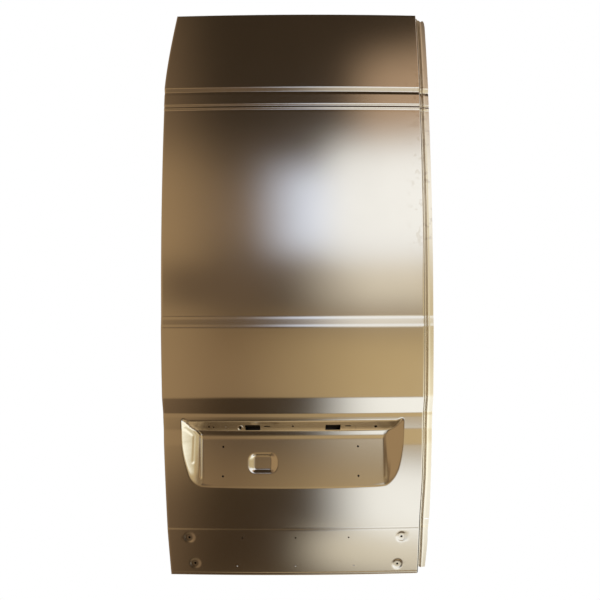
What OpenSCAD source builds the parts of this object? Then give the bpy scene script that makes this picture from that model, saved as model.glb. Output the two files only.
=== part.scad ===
// Left leaf of a pair of van rear barn doors: a bare pressed-steel shell without
// hinges, locks or trim. Seen from outside, X runs to the right, Y into the vehicle
// and Z up. The pressings are drawn from the lower hinge-edge corner of the skin and
// moved at the end, so that the origin lies on the lower hinge face.

/* [Leaf] */
// Height of the outer skin
door_h = 1808; // [1700:1:1900]
// Width of the outer skin, hinge edge to meeting edge
skin_w = 804; // [760:1:860]
// Radius of the upright bow of the skin
barrel_r = 4350; // [3800:10:6000]
// Height of the outermost line of the bow
barrel_z = 872; // [800:1:950]
// Radius of the sideways crown of the skin
crown_r = 9000; // [8600:50:9000]
// Sheet thickness of skin and inner panel
sheet = 1; // [0.8:0.1:1.4]
// How far the hinge edge leans in at the top
tumble_in = 30; // [10:1:40]
// Height of the stretch that leans in at the top
tumble_h = 255; // [150:1:255]
// How far the hinge edge leans in at the foot
foot_in = 4; // [0:0.5:8]
// Radius of the two corners on the hinge edge
corner_r = 9; // [4:1:20]
// Width of the hem folded over the inner panel
hem_w = 11; // [8:0.5:16]

/* [Pressed lines] */
// Depth of the window field behind the bow
field_in = 4; // [2:0.5:7]
// Depth of the raised bead along the field's top and bottom
bead_in = 1.5; // [0.5:0.5:1.5]
// Height of the lower edge of the window field
field_low_z = 840; // [800:1:900]
// Width of the sill bead under the field
sill_h = 35; // [28:1:45]
// Height of the upper edge of the window field
field_top_z = 1473; // [1440:1:1480]
// Width of the bead over the field
head_h = 27; // [22:1:32]
// Height of the upper step, over a flat band
head_step_z = 1557; // [1545:1:1580]
// Rise of a pressed step
step_rise = 13; // [8:1:15]
// Height of the top of the shoulder
shoulder_z = 588; // [580:1:600]
// Height of the sloped shoulder
shoulder_h = 49; // [40:1:52]
// Inward step over the shoulder
shoulder_in = 7; // [4:0.5:8]
// Inward step of the lower field
lower_in = 8; // [7:0.5:9]
// Height of the crease under the shoulder band
lower_z = 483; // [475:1:490]
// Height of the line over the lower strip
strip_z = 162; // [150:1:180]
// Inward step of the lower strip
strip_in = 6; // [5:0.5:8]

/* [Number plate recess] */
// Half width of the recess mouth near its top
mouth_half_top = 344; // [335:1:350]
// Half width of the mouth at its lower corners
mouth_half_low = 324; // [318:1:330]
// Height of the lower edge of the mouth
mouth_low_z = 301; // [290:1:310]
// Height of the upper edge of the mouth
mouth_top_z = 520; // [510:1:524]
// Radius of the lower corners of the mouth
mouth_low_r = 50; // [35:1:60]
// Radius of the upper corners of the mouth
mouth_top_r = 10; // [6:1:14]
// Half width of the recess floor
floor_half = 287.5; // [275:0.5:295]
// Height of the upper edge of the floor
floor_top_z = 460; // [450:1:470]
// Height of the floor above the lower edge of the mouth
floor_rise = 6; // [4:1:10]
// Depth of the floor at its top, behind the skin
floor_depth_top = 38; // [28:1:38]
// Depth of the floor at its lower corners, behind the skin
floor_depth_low = 1; // [0.5:0.5:4]
// Width of the pressed pocket in the floor
pocket_w = 94; // [80:1:110]
// Height of the pressed pocket in the floor
pocket_h = 62; // [50:1:70]
// Depth of the pocket
pocket_depth = 7; // [4:0.5:9]
// Width of a plate lamp window
lamp_w = 47; // [40:1:52]
// Height of a plate lamp window
lamp_h = 20; // [15:1:22]
// Distance between the centres of the plate lamp windows
lamp_pitch = 250.5; // [230:0.5:270]
// Radius of the plate fixing holes
plate_hole_r = 2.5; // [2:0.1:3.5]
// Sideways spacing of the plate fixing holes
plate_pitch_x = 424; // [410:1:430]
// Upright spacing of the plate fixing holes
plate_pitch_z = 89; // [80:1:95]

/* [Lower strip holes] */
// Spacing of the upper row of holes
row_pitch = 168.4; // [160:0.1:172]
// Height of the upper row of holes
row_z = 133; // [125:1:140]
// Spacing of the lower row of holes
low_pitch = 186.5; // [175:0.1:190]
// Radius of a plain strip hole
strip_hole_r = 2.6; // [2:0.1:4]
// Radius of a dimple round a strip hole
dimple_r = 18; // [14:0.5:22]
// Depth of a dimple
dimple_depth = 3; // [2:0.5:4]
// Radius of the hole in a dimple
dimple_hole_r = 4; // [3:0.1:5]

/* [Inner panel] */
// Width of the flange hemmed to the skin
flange_w = 28; // [24:1:34]
// Depth of the inner web behind the bow
web_in = 60; // [54:1:70]
// Depth of the lip turned in round an opening of the web
lip_depth = 8; // [5:0.5:10]
// Sheet thickness of the reinforcements
plate_t = 2.5; // [1.5:0.1:3]
// Gap between a brace and the skin, filled by mastic
mastic_gap = 4; // [3:0.5:6]
// Sheet thickness of the braces
brace_t = 1.2; // [1:0.1:1.5]
// Height of a brace channel
brace_h = 62; // [50:1:70]

/* [Closing flange] */
// How far the flange lip reaches past the skin
lip_reach = 30; // [26:1:38]
// Width of the sunk channel beside the skin
channel_w = 11; // [9:0.5:13]
// Depth of the channel behind the skin's face
channel_in = 12; // [9:0.5:14]
// Depth of the lip behind the skin's face
lip_in = 8; // [6:0.5:8]
// Height of the lip above the lower edge
lip_low_z = 18; // [10:1:30]
// Height of the end of the lip below the top edge
lip_top_drop = 12; // [8:1:20]

/* [Hinge faces] */
// Height of the lower hinge
hinge_low_z = 312; // [290:1:330]
// Height of the upper hinge
hinge_top_z = 1432; // [1400:1:1440]
// Depth of the hinge line behind the foremost line of the bow
hinge_y = 78; // [76:1:80]
// Upright spacing of the two bolts of a hinge
hinge_pitch = 60; // [50:1:70]
// Radius of a hinge bolt hole
hinge_hole_r = 4.5; // [4:0.1:5.5]

/* [Hidden] */

steel = [0.72, 0.62, 0.48];
dark_steel = [0.50, 0.44, 0.36];
mastic_colour = [0.15, 0.14, 0.13];

revolve_fn = 256;
arc_fn = 32;
over = 5;
bow_pitch = 60;
sweep_margin = 46;
reach = 400;
mid_x = skin_w / 2;
hinge_wall_x = flange_w;

// Pressed lines as height and inward step, from the foot to the top.
line_half = 4;
sill_rise = 7.5;
LINES = [
    [-over, strip_in],
    [strip_z - line_half, strip_in],
    [strip_z + line_half, lower_in],
    [lower_z, lower_in],
    [shoulder_z - shoulder_h - step_rise, shoulder_in + 1],
    [shoulder_z - shoulder_h, shoulder_in],
    [shoulder_z, 0],
    [field_low_z - sill_h, 0],
    [field_low_z - sill_h + sill_rise, bead_in],
    [field_low_z - sill_rise, bead_in],
    [field_low_z, field_in],
    [field_top_z, field_in],
    [field_top_z + sill_rise, bead_in],
    [field_top_z + head_h - sill_rise, bead_in],
    [field_top_z + head_h, field_in],
    [head_step_z - step_rise, field_in],
    [head_step_z, 0],
    [door_h + over, 0]
];

function barrel(z) = barrel_r - sqrt(barrel_r * barrel_r - (z - barrel_z) * (z - barrel_z));
function crown(x) = crown_r - sqrt(crown_r * crown_r - (x - mid_x) * (x - mid_x));
function bow(z, ribs) = barrel(z) + ribs * lookup(z, LINES);
function face_y(x, z) = bow(z, 1) + crown(x);

// Heights at which the section has a point: every pressed line, and between them
// enough points for the bow.
function steps_between(a, b) = ceil((b - a) / bow_pitch);
HEIGHTS = concat(
    [for (i = [0 : len(LINES) - 2])
        let (a = LINES[i][0], b = LINES[i + 1][0], n = steps_between(a, b))
        for (k = [0 : n - 1]) a + (b - a) * k / n],
    [door_h + over]
);
LAST = len(HEIGHTS) - 1;

// A shell that follows the skin from one depth behind its face to another. The
// ribs factor says whether the pressed lines show in its front and its back.
module pressed(front, back, front_ribs = 1, back_ribs = 1) {
    sweep = 2 * asin((mid_x + sweep_margin) / crown_r);
    translate([mid_x, crown_r, 0])
        rotate([0, 0, -90 - sweep / 2])
            rotate_extrude(angle = sweep, $fn = revolve_fn)
                polygon(concat(
                    [for (i = [0 : LAST])
                        [crown_r - bow(HEIGHTS[i], front_ribs) - front, HEIGHTS[i]]],
                    [for (i = [LAST : -1 : 0])
                        [crown_r - bow(HEIGHTS[i], back_ribs) - back, HEIGHTS[i]]]
                ));
}

// Draws a front view outline right through the leaf.
module through() {
    translate([0, reach, 0]) rotate([90, 0, 0]) linear_extrude(reach + over) children();
}

function arc(x, z, r, from, to, n = 6) =
    [for (i = [0 : n]) let (a = from + (to - from) * i / n) [x + r * cos(a), z + r * sin(a)]];

foot_h = 160;
tumble_power = 1.3;
function edge_x(z) = z < foot_h ? foot_in * (foot_h - z) / foot_h
    : z < door_h - tumble_h ? 0
    : tumble_in * pow((z - door_h + tumble_h) / tumble_h, tumble_power);

// Outline of the skin in front view, drawn in from its edge by an inset.
module leaf_outline(inset = 0) {
    r = max(corner_r - inset, 0.5);
    foot_x = edge_x(0) + inset;
    top_x = edge_x(door_h) + inset;
    lean_steps = 6;
    polygon(concat(
        arc(foot_x + r, inset + r, r, 270, 180),
        [[inset, foot_h]],
        [for (i = [0 : lean_steps - 1])
            let (z = door_h - tumble_h + (tumble_h - corner_r - inset) * i / lean_steps)
            [edge_x(z) + inset, z]],
        arc(top_x + r, door_h - inset - r, r, 180, 90),
        [[skin_w - inset, door_h - inset], [skin_w - inset, inset]]
    ));
}

module rounded(x0, x1, z0, z1, r) {
    polygon(concat(
        arc(x0 + r, z0 + r, r, 270, 180),
        arc(x0 + r, z1 - r, r, 180, 90),
        arc(x1 - r, z1 - r, r, 90, 0),
        arc(x1 - r, z0 + r, r, 0, -90)
    ));
}

module hole_y(x, z, r) {
    translate([x, reach, z]) rotate([90, 0, 0]) cylinder(r = r, h = reach + over, $fn = arc_fn);
}

module hole_x(x, y, z, r, length) {
    translate([x, y, z]) rotate([0, 90, 0]) cylinder(r = r, h = length, $fn = arc_fn);
}

// The recess runs from its mouth on the skin to a flat floor that leans back.
mouth_side_z = 485;
floor_low_z = mouth_low_z + floor_rise;
floor_foot_y = face_y(mid_x + floor_half, floor_low_z) + floor_depth_low;
floor_head_y = face_y(mid_x, floor_top_z) + floor_depth_top;
floor_lean = atan((floor_head_y - floor_foot_y) / (floor_top_z - floor_low_z));
floor_len = (floor_top_z - floor_low_z) / cos(floor_lean);
function floor_y(z) = floor_foot_y + (z - floor_low_z) * tan(floor_lean);

module mouth_outline(grow) {
    low = mouth_low_r + grow;
    top = mouth_top_r + grow;
    half_low = mouth_half_low + grow;
    half_top = mouth_half_top + grow;
    foot_z = mouth_low_z - grow + low;
    head_z = mouth_top_z + grow - top;
    corner_lean = 8;
    translate([mid_x, 0]) polygon(concat(
        arc(half_low - low, foot_z, low, 270, 360 - corner_lean),
        [[half_top, mouth_side_z]],
        arc(half_top - top, head_z, top, 0, 90),
        arc(-half_top + top, head_z, top, 90, 180),
        [[-half_top, mouth_side_z]],
        arc(-half_low + low, foot_z, low, 180 + corner_lean, 270)
    ));
}

// The hollow of the recess, or with a grown size the block that its sheet is cut from.
module recess_block(grow) {
    mouth_front = 12;
    hull() {
        intersection() {
            pressed(-mouth_front - grow, grow);
            through() mouth_outline(grow);
        }
        translate([mid_x - floor_half - grow, floor_foot_y + grow, floor_low_z - grow])
            rotate([-floor_lean, 0, 0])
                translate([0, -sheet, 0])
                    cube([2 * (floor_half + grow), sheet, floor_len + 2 * grow]);
    }
}

pocket_x = 308;
pocket_z = 377;
pocket_r = 22;
pocket_slope = 14;

module pocket_block(grow) {
    translate([pocket_x, floor_y(pocket_z) + grow, pocket_z])
        rotate([90 - floor_lean, 0, 0])
            hull() {
                linear_extrude(sheet)
                    rounded(-pocket_w / 2 - grow, pocket_w / 2 + grow,
                        -pocket_h / 2 - grow, pocket_h / 2 + grow, pocket_r);
                translate([0, 0, -pocket_depth])
                    linear_extrude(0.1)
                        rounded(-pocket_w / 2 + pocket_slope, pocket_w / 2 - pocket_slope,
                            -pocket_h / 2 + 4 - grow, pocket_h / 2 - 4 + grow, 6);
            }
}

// Places of holes, all in the front view of the skin.
row_x = 70;
low_dimples = [[85, 43], [733, 37]];
low_row_x = 406.5;
low_row_z = 34;
dimples = concat([[row_x, row_z], [row_x + 4 * row_pitch, row_z]], low_dimples);
plain_holes = concat(
    [for (i = [1 : 3]) [row_x + i * row_pitch, row_z]],
    [for (i = [-1 : 1]) [low_row_x + i * low_pitch, low_row_z]]
);
lamp_mid_x = 402;
lamp_z = 489;
wall_holes = [[140, 491, 3], [402, 496, 3], [660, 493, 4.5]];
wall_slots = [[323, 494, 19], [575, 496, 18]];
slot_h = 4;
clip_x = 241;
clip_z = 487;
clip_w = 10;
clip_h = 16;
plate_x = 393;
plate_z = 379.5;

// Cones square to the skin, running out past its face.
module dimple_block(grow) {
    for (p = dimples)
        translate([p[0], face_y(p[0], p[1]), p[1]])
            rotate([90 + asin((barrel_z - p[1]) / barrel_r), 0, 0])
                translate([0, 0, -dimple_depth - grow])
                    cylinder(r1 = dimple_r / 2, r2 = 1.5 * dimple_r, h = 2 * dimple_depth, $fn = arc_fn);
}

module hem_shell() {
    difference() {
        intersection() {
            pressed(0, 3 * sheet);
            through() leaf_outline();
        }
        intersection() {
            pressed(sheet, 2 * sheet);
            through() leaf_outline(sheet);
        }
        intersection() {
            pressed(sheet, 4 * sheet);
            through() leaf_outline(hem_w);
        }
    }
}

module outer_skin() {
    color(steel) difference() {
        union() {
            hem_shell();
            intersection() {
                pressed(0, web_in);
                union() {
                    recess_block(sheet);
                    pocket_block(sheet);
                    dimple_block(sheet);
                }
            }
        }
        recess_block(0);
        pocket_block(0);
        dimple_block(0);
        for (side = [-1, 1])
            through() translate([lamp_mid_x + side * lamp_pitch / 2, lamp_z])
                square([lamp_w, lamp_h], center = true);
        for (s = wall_slots) through() translate([s[0], s[1]]) square([s[2], slot_h], center = true);
        through() translate([clip_x, clip_z]) square([clip_w, clip_h], center = true);
        for (h = wall_holes) hole_y(h[0], h[1], h[2]);
        for (side_x = [-1, 1], side_z = [-1, 1])
            hole_y(plate_x + side_x * plate_pitch_x / 2, plate_z + side_z * plate_pitch_z / 2, plate_hole_r);
        for (p = plain_holes) hole_y(p[0], p[1], strip_hole_r);
        for (p = dimples) hole_y(p[0], p[1], dimple_hole_r);
    }
}

// Openings of the inner web: left, right, low, high, corner radius.
web_openings = [
    [130, 690, 1210, 1440, 40],
    [130, 690, 900, 1105, 40],
    [150, 640, 1590, 1720, 40],
    [130, 600, 560, 650, 35],
    [220, 570, 290, 455, 45],
    [130, 670, 52, 96, 18]
];
handle_opening = [650, 720, 590, 650, 12];
handle_plate_margin = 22;
panel_seams = [-over, 870, 1157, door_h + over];

module web_shell() {
    difference() {
        intersection() {
            pressed(sheet, web_in + sheet, 1, 0);
            through() leaf_outline(sheet);
        }
        intersection() {
            pressed(0, web_in, 1, 0);
            through() leaf_outline(flange_w + sheet);
        }
        intersection() {
            pressed(2 * sheet, web_in + 3 * sheet, 1, 0);
            through() difference() {
                translate([-over, -over]) square([skin_w + 2 * over, door_h + 2 * over]);
                leaf_outline(flange_w);
            }
        }
    }
}

seat_rise = 1;
seat_half_y = 14;
seat_half_z = 62;

// Raised seats for the hinges on the hinge-side wall.
module hinge_seats() {
    for (z = [hinge_low_z, hinge_top_z])
        translate([hinge_wall_x - seat_rise, hinge_y - seat_half_y, z - seat_half_z])
            cube([seat_rise + sheet / 2, 2 * seat_half_y, 2 * seat_half_z]);
}

// The inner pressing between two heights.
module inner_panel(low_z, top_z) {
    color(dark_steel) difference() {
        intersection() {
            union() {
                web_shell();
                hinge_seats();
                intersection() {
                    pressed(web_in - lip_depth, web_in + sheet / 2, 0, 0);
                    through() for (w = web_openings)
                        rounded(w[0] - sheet, w[1] + sheet, w[2] - sheet, w[3] + sheet, w[4] + sheet);
                }
            }
            through() translate([-over, low_z]) square([skin_w + 2 * over, top_z - low_z]);
        }
        for (w = concat(web_openings, [handle_opening]))
            through() rounded(w[0], w[1], w[2], w[3], w[4]);
        hinge_holes(hinge_wall_x - over, 3 * over);
        check_strap_holes(hinge_wall_x - over, 3 * over);
        striker_holes(meeting_wall_x - over, 3 * over);
        latch_holes(flange_w - over, latch_low_y, 3 * over);
        latch_holes(door_h - flange_w - 2 * over, latch_top_y, 3 * over);
        dimple_block(sheet);
    }
}

module hinge_holes(x, length) {
    for (z = [hinge_low_z, hinge_top_z], side = [-1, 1])
        hole_x(x, hinge_y, z + side * hinge_pitch / 2, hinge_hole_r, length);
}

// The lip beyond the skin: welded behind the hem, sunk beside the skin's edge, then
// carried out as the flat flange that the other leaf closes on.
module closing_flange() {
    weld_x = skin_w - flange_w + 2 * over;
    wall_x = skin_w + sheet;
    lip_x = skin_w + channel_w;
    end_x = skin_w + lip_reach;
    slot_z = 187;
    top_z = door_h - lip_top_drop;
    ear = 10;
    taper_z = 200;
    taper_in = 8;
    color(steel) difference() {
        intersection() {
            union() {
                intersection() {
                    pressed(3 * sheet, 4 * sheet);
                    through() translate([weld_x, 0]) square([wall_x - weld_x + sheet, door_h]);
                }
                intersection() {
                    pressed(3 * sheet, channel_in + sheet);
                    through() translate([wall_x, 0]) square([end_x - wall_x, door_h]);
                }
            }
            through() polygon([
                [weld_x, lip_low_z], [end_x - taper_in, lip_low_z], [end_x, taper_z],
                [end_x, top_z - ear], [end_x - ear / 2, top_z], [weld_x, top_z]
            ]);
        }
        intersection() {
            pressed(-sheet, channel_in);
            through() translate([wall_x + sheet, 0]) square([lip_x - wall_x - sheet, door_h]);
        }
        intersection() {
            pressed(-sheet, lip_in);
            through() translate([lip_x - sheet, 0]) square([end_x - lip_x + 2 * sheet, door_h]);
        }
        intersection() {
            pressed(lip_in + sheet, channel_in + 2 * sheet);
            through() translate([lip_x + sheet, 0]) square([end_x - lip_x, door_h]);
        }
        through() translate([(lip_x + end_x) / 2, slot_z]) square([14, slot_h], center = true);
    }
}

inner_wall_x = hinge_wall_x + sheet;
meeting_wall_x = skin_w - flange_w - sheet;
stiffener_low_z = 400;
stiffener_top_z = 1190;
stiffener_w = 42;
stiffener_in = 38;

module hinge_side_stiffener() {
    color(dark_steel) difference() {
        intersection() {
            pressed(stiffener_in, web_in, 0, 0);
            through() translate([inner_wall_x, stiffener_low_z])
                square([stiffener_w, stiffener_top_z - stiffener_low_z]);
        }
        intersection() {
            pressed(stiffener_in + brace_t, web_in + over, 0, 0);
            through() translate([inner_wall_x - over, stiffener_low_z - over])
                square([stiffener_w + over - brace_t, stiffener_top_z - stiffener_low_z + 2 * over]);
        }
    }
}

nut_t = 6;
nut_half_y = 11;
nut_half_z = 45;

module hinge_plate(z, x, t, half_y, half_z) {
    difference() {
        translate([x, hinge_y - half_y, z - half_z]) cube([t, 2 * half_y, 2 * half_z]);
        hinge_holes(x - over, t + 2 * over);
    }
}

module hinge_reinforcement(z) {
    color(dark_steel) hinge_plate(z, inner_wall_x, plate_t, seat_half_y, seat_half_z);
}

module hinge_nut_plate(z) {
    color(dark_steel) hinge_plate(z, inner_wall_x + plate_t, nut_t, nut_half_y, nut_half_z);
}

check_z = 1260;
check_half_z = 45;
check_pitch = 50;
check_y0 = barrel(check_z) + crown(0) + field_in + 3 * sheet + over;
check_y1 = barrel(check_z) + web_in - over;
check_slot_w = 10;
check_slot_h = 24;
small_hole_r = 3.5;

// Two bolt holes and the slot that a check strap passes through.
module check_strap_holes(x, length) {
    y = (check_y0 + check_y1) / 2;
    for (side = [-1, 1]) hole_x(x, y, check_z + side * check_pitch / 2, small_hole_r, length);
    translate([x, y - check_slot_w / 2, check_z - check_slot_h / 2]) cube([length, check_slot_w, check_slot_h]);
}

module check_strap_reinforcement() {
    color(dark_steel) difference() {
        translate([inner_wall_x, check_y0, check_z - check_half_z])
            cube([plate_t, check_y1 - check_y0, 2 * check_half_z]);
        check_strap_holes(inner_wall_x - over, plate_t + 2 * over);
    }
}

waist_brace_z = 712;
striker_half_z = 26;
striker_pitch = 32;
striker_z = waist_brace_z + brace_h / 2 + over + striker_half_z;
striker_y0 = barrel(striker_z) + crown(skin_w) + 3 * sheet + over;
striker_y1 = barrel(striker_z) + web_in - over;

module striker_holes(x, length) {
    for (side = [-1, 1])
        hole_x(x, (striker_y0 + striker_y1) / 2, striker_z + side * striker_pitch / 2, small_hole_r, length);
}

module striker_reinforcement() {
    color(dark_steel) difference() {
        translate([meeting_wall_x - plate_t, striker_y0, striker_z - striker_half_z])
            cube([plate_t, striker_y1 - striker_y0, 2 * striker_half_z]);
        striker_holes(meeting_wall_x - plate_t - over, plate_t + 2 * over);
    }
}

latch_x = 727;
latch_w = 74;
latch_pitch = 44;
latch_half_y = 14;
latch_in = (lower_in + 3 * sheet + web_in) / 2;
latch_top_y = barrel(door_h - flange_w) + crown(latch_x) + latch_in;
latch_low_y = barrel(flange_w) + crown(latch_x) + latch_in;

module latch_holes(z, y, length) {
    for (side = [-1, 1])
        translate([latch_x + side * latch_pitch / 2, y, z])
            cylinder(r = small_hole_r, h = length, $fn = arc_fn);
}

module latch_reinforcement(z, y) {
    color(dark_steel) difference() {
        translate([latch_x - latch_w / 2, y - latch_half_y, z]) cube([latch_w, 2 * latch_half_y, plate_t]);
        latch_holes(z - over, y, plate_t + 2 * over);
    }
}

module release_handle_reinforcement() {
    m = handle_plate_margin;
    color(dark_steel) difference() {
        intersection() {
            pressed(web_in - plate_t, web_in, 0, 0);
            through() rounded(handle_opening[0] - m, handle_opening[1] + m,
                handle_opening[2] - m / 2, handle_opening[3] + m / 2, 12);
        }
        through() rounded(handle_opening[0], handle_opening[1], handle_opening[2], handle_opening[3],
            handle_opening[4]);
    }
}

// Height of each brace and the place of its hinge-side end.
top_brace_z = 1520;
window_brace_z = 1157;
lower_brace_z = 215;
stiffener_end_x = inner_wall_x + stiffener_w;

module brace(z, x) {
    color(dark_steel) difference() {
        intersection() {
            pressed(mastic_gap, web_in, 1, 0);
            through() translate([x, z - brace_h / 2]) square([meeting_wall_x - x, brace_h]);
        }
        intersection() {
            pressed(mastic_gap + brace_t, web_in + over, 1, 0);
            through() translate([x - over, z - brace_h / 2 + brace_t])
                square([meeting_wall_x - x + 2 * over, brace_h - 2 * brace_t]);
        }
    }
}

pad_r = 13;
pad_count = 5;
seat_gap = 0.3;

module brace_mastic(z) {
    color(mastic_colour) intersection() {
        pressed(sheet + seat_gap, mastic_gap);
        for (i = [0 : pad_count - 1])
            hole_y(skin_w * (i + 1) / (pad_count + 1), z, pad_r);
    }
}

module place() {
    translate([seat_rise - hinge_wall_x, -hinge_y, -hinge_low_z]) children();
}

place() outer_skin();
place() inner_panel(panel_seams[2], panel_seams[3]);  // inner_panel_top
place() inner_panel(panel_seams[1], panel_seams[2]);  // inner_panel_middle
place() inner_panel(panel_seams[0], panel_seams[1]);  // inner_panel_lower
place() closing_flange();
place() hinge_side_stiffener();
place() hinge_reinforcement(hinge_low_z);  // hinge_reinforcement_lower
place() hinge_reinforcement(hinge_top_z);  // hinge_reinforcement_upper
place() hinge_nut_plate(hinge_low_z);  // hinge_nut_plate_lower
place() hinge_nut_plate(hinge_top_z);  // hinge_nut_plate_upper
place() check_strap_reinforcement();
place() striker_reinforcement();
place() latch_reinforcement(door_h - flange_w - sheet - plate_t, latch_top_y);  // latch_reinforcement_top
place() latch_reinforcement(flange_w + sheet, latch_low_y);  // latch_reinforcement_bottom
place() release_handle_reinforcement();
place() brace(top_brace_z, inner_wall_x);  // top_brace
place() brace(window_brace_z, stiffener_end_x);  // window_brace
place() brace(waist_brace_z, stiffener_end_x);  // waist_brace
place() brace(lower_brace_z, inner_wall_x);  // lower_brace
place() brace_mastic(top_brace_z);  // top_brace_mastic
place() brace_mastic(window_brace_z);  // window_brace_mastic
place() brace_mastic(waist_brace_z);  // waist_brace_mastic
place() brace_mastic(lower_brace_z);  // lower_brace_mastic
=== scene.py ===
"""Left leaf of a pair of van rear barn doors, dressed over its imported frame."""
import math

import bmesh
import bpy
import numpy as np
from mathutils import Matrix, Vector


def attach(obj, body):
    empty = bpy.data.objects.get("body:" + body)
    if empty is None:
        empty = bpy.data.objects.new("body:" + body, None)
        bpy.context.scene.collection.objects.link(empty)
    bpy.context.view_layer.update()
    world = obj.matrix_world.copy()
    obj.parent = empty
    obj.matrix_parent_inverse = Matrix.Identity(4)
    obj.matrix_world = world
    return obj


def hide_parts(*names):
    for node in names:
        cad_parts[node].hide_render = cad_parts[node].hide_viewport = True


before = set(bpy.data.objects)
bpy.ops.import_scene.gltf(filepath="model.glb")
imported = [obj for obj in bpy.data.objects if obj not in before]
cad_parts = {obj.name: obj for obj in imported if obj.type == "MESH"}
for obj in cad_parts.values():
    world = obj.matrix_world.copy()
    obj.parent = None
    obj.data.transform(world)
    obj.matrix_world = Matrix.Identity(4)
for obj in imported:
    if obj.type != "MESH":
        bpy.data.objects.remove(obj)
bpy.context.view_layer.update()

MM = 0.001

# The leaf's own measures in millimetres, from the lower corner of its hinge edge.
SKIN_W = 804.0
SKIN_H = 1808.0
MID_X = SKIN_W / 2
SHEET = 1.0
BARREL_R = 4350.0
BARREL_Z = 872.0
CROWN_R = 9000.0
TUMBLE_IN = 30.0
TUMBLE_H = 255.0
TUMBLE_POWER = 1.3
FOOT_IN = 4.0
FOOT_H = 160.0
HEM_R = 3.0

# How far the foot of the free edge draws in, and the heights between which it does.
FREE_IN = 4.0
FREE_FOOT = (180.0, 350.0)

# Where that corner lies in the frame, whose origin is on the lower hinge face.
SHIFT = (-27.0, -78.0, -312.0)

# Pressed lines of the skin: height, inward step, and radius of the crease there.
PRESSED_LINES = [
    # hem line and trim strip zone
    (-5, 7.7, 0.5), (10.5, 7.7, 0.6), (12, 7.2, 0.6), (160, 7.2, 1.2), (164, 8, 1.2),
    # beside the recess, then the shoulder above it
    (440, 7.6, 6), (484, 10.6, 4), (527, 8.6, 2), (537, 9.2, 2), (588, 0, 5),
    # step at the waist, up to the window field
    (803.5, 0, 3), (811, 1.2, 2.5), (829, 2.9, 2), (836, 4, 2),
    # the two upper ribs
    (1473, 4, 3), (1480, 4.2, 1), (1486.5, 2.2, 1), (1492, 3.8, 1), (1498, 1.8, 1),
    (1530, 1.8, 1.5), (1539, 4.6, 1.2), (1552.5, 0, 1.5), (1813, 0, 1),
]

# The plate recess: its mouth on the skin, its floor, which leans back, and its walls.
MOUTH_LEFT = 344.0
MOUTH_RIGHT = 340.0
MOUTH_TOP_Z = 514.0
MOUTH_CAP_Z = 521.0
MOUTH_CAP_R = 10.0
MOUTH_FLOW_Z = 150.0
MOUTH_SOFT = 2.2
FLOOR_MID = 400.2
FLOOR_HALF = 289.3
FLOOR_LOW_Z = 305.0
FLOOR_TOP_Z = 455.0
FLOOR_FOOT_Y = 46.3
FLOOR_LEAN = 7.2
FLOOR_CROWN = 0.8
FLOOR_SOFT = 3.0
FOOT_SOFT = 0.3
FOOT_FADE = 90.0
SIDE_BULGE = 0.34
SIDE_SOFT = 0.05
TOP_WALL_RISE = 0.83
LEDGE_RISE = 0.21
EAR_RISE = 6.0
EAR_W = 22.0
WALL_SOFT = 1.6

# Fine ridges where the left side wall of the recess turns, from end to end. The right wall has
# them mirrored, at a share of their height.
RIDGES = [((75, 503), (109, 463)), ((109, 463), (111, 332)), ((66, 488), (90, 461)), ((90, 461), (88, 380))]
RIDGE_RISE = 1.3
RIDGE_HALF = 5.0
RIDGE_RIGHT_SHARE = 0.3

# The pocket in the recess floor.
POCKET = (306.0, 374.5)
POCKET_SIZE = (91.0, 57.0)
POCKET_FLAT = (55.0, 43.0)
POCKET_DEPTH = 6.0

# Holes, in the front view: place and radius.
ROW_X, ROW_Z, ROW_PITCH = 70.0, 133.0, 168.4
LOW_ROW_X, LOW_ROW_Z, LOW_PITCH = 406.5, 34.0, 186.5
DIMPLES = [(ROW_X, ROW_Z), (ROW_X + 4 * ROW_PITCH, ROW_Z), (85.0, 43.0), (733.0, 37.0)]
DIMPLE_R, DIMPLE_FLAT_R, DIMPLE_DEPTH, DIMPLE_HOLE_R = 18.5, 11.5, 1.2, 3.6
STRIP_HOLES = [(ROW_X + i * ROW_PITCH, ROW_Z) for i in (1, 2, 3)]
STRIP_HOLES += [(LOW_ROW_X + i * LOW_PITCH, LOW_ROW_Z) for i in (-1, 0, 1)]
STRIP_HOLE_R = 2.6
WALL_HOLES = [(138.5, 490.5, 3.0), (152.5, 489.0, 2.6), (400.5, 493.0, 3.0), (659.5, 489.5, 4.4)]
WALL_SLOTS = [(320.5, 493.0, 19.0), (573.0, 493.0, 18.0)]
SLOT_H = 4.0
LAMP_WINDOWS = [(275.0, 487.5), (525.5, 487.5)]
LAMP_W, LAMP_H = 47.0, 21.0

# The clip hole and the ring that stands at it.
CLIP = (236.0, 487.0, 6.0, 13.0)
CLIP_RING = (8.5, 12.0, 2.4)

# The plate holes.
PLATE_MID = (393.0, 379.5)
PLATE_PITCH = (424.0, 89.0)
PLATE_HOLE_R = 3.2

# The closing flange, across its section: place past the skin and depth behind its face.
CHANNEL_W = 11.0
CHANNEL_IN = 12.0
LIP_REACH = 30.0
LIP_IN = 8.0
LIP_LOW_Z = 18.0
LIP_TOP_Z = SKIN_H - 12.0
FLANGE_SLOT_Z, FLANGE_SLOT_W = 187.0, 14.0

# How deep a cutter reaches through the leaf.
CUT_LENGTH = 220.0


def soft_hinge(t, r):
    """Zero below t = 0 and t above it, rounded over the radius r on both sides."""
    return np.where(t < -r, 0.0, np.where(t > r, t, (t + r) ** 2 / (4 * r)))


def soft_min(a, b, r):
    """The lesser of two heights, with the crease between them rounded."""
    return a - soft_hinge(a - b, r)


def soft_max(a, b, r):
    return -soft_min(-a, -b, r)


def smooth_step(t):
    t = np.clip(t, 0, 1)
    return t * t * (3 - 2 * t)


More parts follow.
